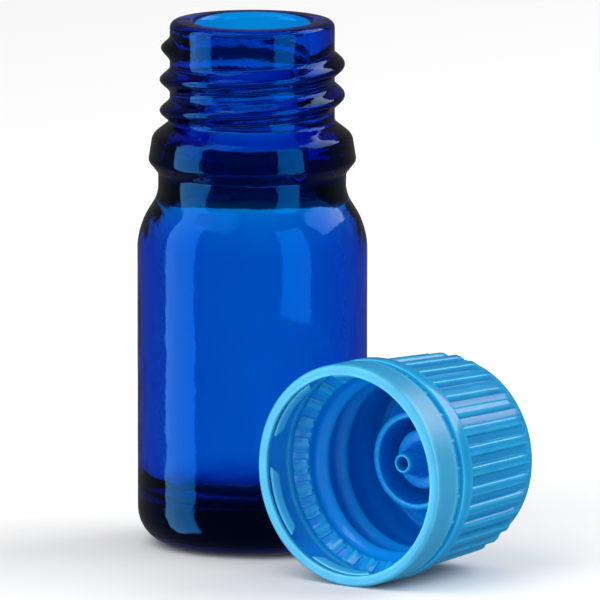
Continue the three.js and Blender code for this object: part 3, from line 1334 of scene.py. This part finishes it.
@dataclass
class Closure:
    """The cap, band and insert, lying on their side beside the vial.

    Attributes:
        roll: how far they are rolled about their own axis.
    """

    roll: float = math.radians(8)

    def joint(self) -> dict:
        """The cap's turning joint, whose place and axis the closure lies on."""
        return next(item for item in frame["joints"] if item["name"] == "cap_turn")

    def turn(self) -> Matrix:
        """The closure's own axes in the row frame, with Z from the rim to the roof.

        Returns:
            A 3 x 3 rotation.
        """
        along = Vector(self.joint()["axis"]).normalized()
        down = -Z_AXIS
        axes = Matrix((down, along.cross(down), along)).transposed()
        return axes @ Matrix.Rotation(self.roll, 3, "Z")

    def placement(self) -> Matrix:
        """Carries the closure's millimetres to the row frame's metres."""
        rim = Matrix.Translation(self.joint()["pos_m"])
        return rim @ self.turn().to_4x4() @ Matrix.Scale(MM, 4)

    def build(self, skin: Tree) -> None:
        """Makes every piece of the closure.

        Args:
            skin: the shared moulded skin group.
        """
        flow = self.turn().inverted()
        placement = self.placement()
        CapShell().build(placement, GLOSSY_CAP.material(skin, flow))
        TearBand().build(placement, SATIN_BAND.material(skin, flow))
        DropperInsert().build(placement, SOFT_INSERT.material(skin, flow))


# ---- the studio


@dataclass(frozen=True)
class Softbox:
    """A softbox that faces the vial.

    Attributes:
        name: its name.
        bearing: its direction from the vial, in degrees anticlockwise from the camera's side.
        lift: its elevation in degrees.
        distance: its distance in metres.
        size: its width and height in metres.
        radiance: how bright its face is.
        reach: which surfaces it works on.
    """

    name: str
    bearing: float
    lift: float
    distance: float
    size: tuple[float, float]
    radiance: float
    reach: Reach


SOFTBOXES = (
    Softbox("strip_left", -78, 0, 0.5, (0.34, 0.9), 4.8, Reach.GLOSS),
    Softbox("strip_right", 45, 0, 0.5, (0.28, 0.9), 4.4, Reach.GLOSS),
    Softbox("key_above", -50, 55, 0.9, (0.6, 0.6), 2.2, Reach.ALL),
    Softbox("sheen_right", 104, 38, 0.7, (0.6, 0.4), 3.4, Reach.ALL),
    Softbox("fill_front", -35, 12, 0.7, (0.4, 0.3), 4.2, Reach.DIFFUSE),
)


@dataclass
class Studio:
    """The floor, the lights and the camera.

    Attributes:
        axis: where the vial's axis meets the floor, in metres.
        elevation: how far the camera looks down.
        width: how much the picture covers at the vial, in metres.
        distance: how far away the camera stands, in metres.
        sensor: the camera's sensor width, in millimetres.
        aim: the picture's centre from the vial's axis, in metres.
        lit_height: the height on the vial that the softboxes face, in metres.
        cool: colour of the strips that only show as reflections.
        surround: strength of the even surround.
        reflected: its strength where it is only reflected.
        floor_size: half of the floor's width, in metres.
        floor_colour: the paper's colour.
    """

    axis: Vector
    elevation: float = math.radians(9)
    width: float = 0.05797
    distance: float = 1.6
    sensor: float = 36.0
    aim: tuple[float, float] = (0.0046, 0.0237)
    lit_height: float = 0.025
    cool: tuple[float, float, float] = (0.4, 0.82, 1.0)
    surround: float = 0.66
    reflected: float = 0.1
    floor_size: float = 6.0
    floor_colour: Colour = (0.9, 0.9, 0.9, 1)

    def camera(self) -> None:
        """Makes the long-lens camera."""
        data = bpy.data.cameras.new("studio_camera")
        data.sensor_width = self.sensor
        data.lens = self.sensor * self.distance / self.width
        data.clip_start, data.clip_end = 0.05, 50
        camera = bpy.data.objects.new("studio_camera", data)
        bpy.context.scene.collection.objects.link(camera)
        target = self.axis + Vector((self.aim[0], 0, self.aim[1]))
        back = Vector((0, -math.cos(self.elevation), math.sin(self.elevation)))
        camera.location = target + back * self.distance
        camera.rotation_euler = (-back).to_track_quat("-Z", "Y").to_euler()
        bpy.context.scene.camera = camera

    def floor(self) -> None:
        """Makes the plain pale floor."""
        bm = bmesh.new()
        bmesh.ops.create_grid(bm, x_segments=1, y_segments=1, size=self.floor_size)
        mesh = bpy.data.meshes.new("studio_floor")
        bm.to_mesh(mesh)
        bm.free()
        paper, sheet = new_material("studio_paper")
        shader = sheet.node(
            "ShaderNodeBsdfPrincipled",
            Base_Color=self.floor_colour, Roughness=0.9, Specular_IOR_Level=0.0,
        )
        sheet.node("ShaderNodeOutputMaterial", Surface=shader.outputs[0])
        mesh.materials.append(paper)
        floor = bpy.data.objects.new("studio_floor", mesh)
        bpy.context.scene.collection.objects.link(floor)
        floor.visible_glossy = False

    def light(self, box: Softbox) -> None:
        """Makes the light of one softbox.

        Args:
            box: what the softbox is and where it stands.
        """
        data = bpy.data.lights.new(box.name, "AREA")
        data.shape = "RECTANGLE"
        data.size, data.size_y = box.size
        data.energy = box.radiance * math.pi * box.size[0] * box.size[1]
        data.color = self.cool if box.reach is Reach.GLOSS else (1, 1, 1)
        light = bpy.data.objects.new(box.name, data)
        bpy.context.scene.collection.objects.link(light)
        bearing, lift = math.radians(box.bearing), math.radians(box.lift)
        level = math.cos(lift)
        back = Vector((math.sin(bearing) * level, -math.cos(bearing) * level, math.sin(lift)))
        light.location = self.axis + Vector((0, 0, self.lit_height)) + back * box.distance
        light.rotation_euler = (-back).to_track_quat("-Z", "Y").to_euler()
        light.visible_camera = False
        light.visible_transmission = False
        light.visible_diffuse = box.reach is not Reach.GLOSS
        light.visible_glossy = box.reach is not Reach.DIFFUSE

    def world(self) -> None:
        """Makes the even surround, dimmer where it is only reflected."""
        world = bpy.data.worlds.new("studio_surround")
        bpy.context.scene.world = world
        world.use_nodes = True
        world.node_tree.nodes.clear()
        sheet = NodeSheet(world.node_tree)
        path = sheet.node("ShaderNodeLightPath")
        strength = sheet.span(
            path.outputs["Is Glossy Ray"], 0.0, 1.0, self.surround, self.reflected,
        )
        surround = sheet.node("ShaderNodeBackground", Color=(1, 1, 1, 1), Strength=strength)
        sheet.node("ShaderNodeOutputWorld", Surface=surround.outputs[0])

    def build(self) -> None:
        """Makes the whole studio."""
        self.camera()
        self.floor()
        self.world()
        for box in SOFTBOXES:
            self.light(box)
        bpy.context.scene.view_settings.view_transform = "Standard"


# ---- the scene


def main() -> None:
    """Builds the studio, the glass and the closure."""
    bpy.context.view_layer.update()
    low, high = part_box("glass_bottle")
    axis = Vector(((low.x + high.x) / 2, (low.y + high.y) / 2, 0))
    Studio(axis).build()
    skin = skin_group()
    standing = Matrix.Translation(axis) @ Matrix.Scale(MM, 4)
    GlassVial().build(standing, GlassFinish().material(ripple_group()))
    Closure().build(skin)


if __name__ == "__main__":
    main()
